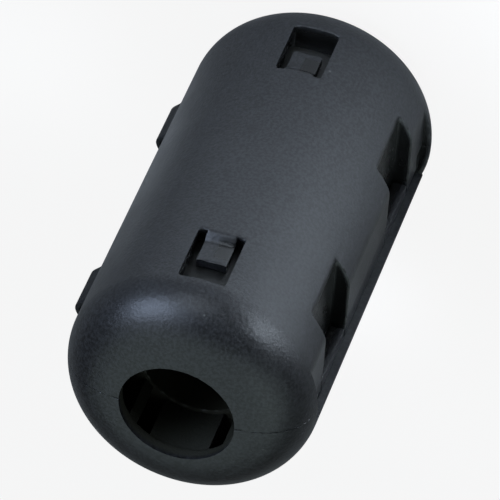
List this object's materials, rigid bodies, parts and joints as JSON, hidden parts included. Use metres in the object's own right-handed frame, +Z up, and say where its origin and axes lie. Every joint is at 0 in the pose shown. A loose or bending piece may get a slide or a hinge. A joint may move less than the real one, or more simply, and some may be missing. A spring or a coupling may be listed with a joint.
{
  "type": "clip-on ferrite bead",
  "caption": "Round-ended black plastic case, hinged and snapped shut round a cable, holding ferrite half rings that damp high-frequency noise.",
  "frame": {"origin": "centre of the cable hole at the lower end rim, on which the bead stands", "axes": "+Z up along the cable hole, +X towards the hinge straps, -X towards the latches, -Y towards the front half that carries the latch pockets"},
  "size_m": [0.0203, 0.0196, 0.039],
  "materials": {
    "case_plastic": "satin moulded nylon with a fine grain",
    "ferrite": "fired dark grey ferrite"
  },
  "bodies": {
    "rear_half": {"rear_case_half": "case_plastic", "rear_ferrite_half": "ferrite", "upper_hinge_strap": "case_plastic", "lower_hinge_strap": "case_plastic"},
    "front_half": {"front_case_half": "case_plastic", "front_ferrite_half": "ferrite"}
  },
  "joints": [
    {"name": "case_hinge", "type": "hinge", "parent": "rear_half", "child": "front_half", "pos_m": [0.0106, 0, 0.0195], "axis": [0, 0, 1], "range_deg": [0, 180], "deforming": ["upper_hinge_strap", "lower_hinge_strap"]}
  ]
}
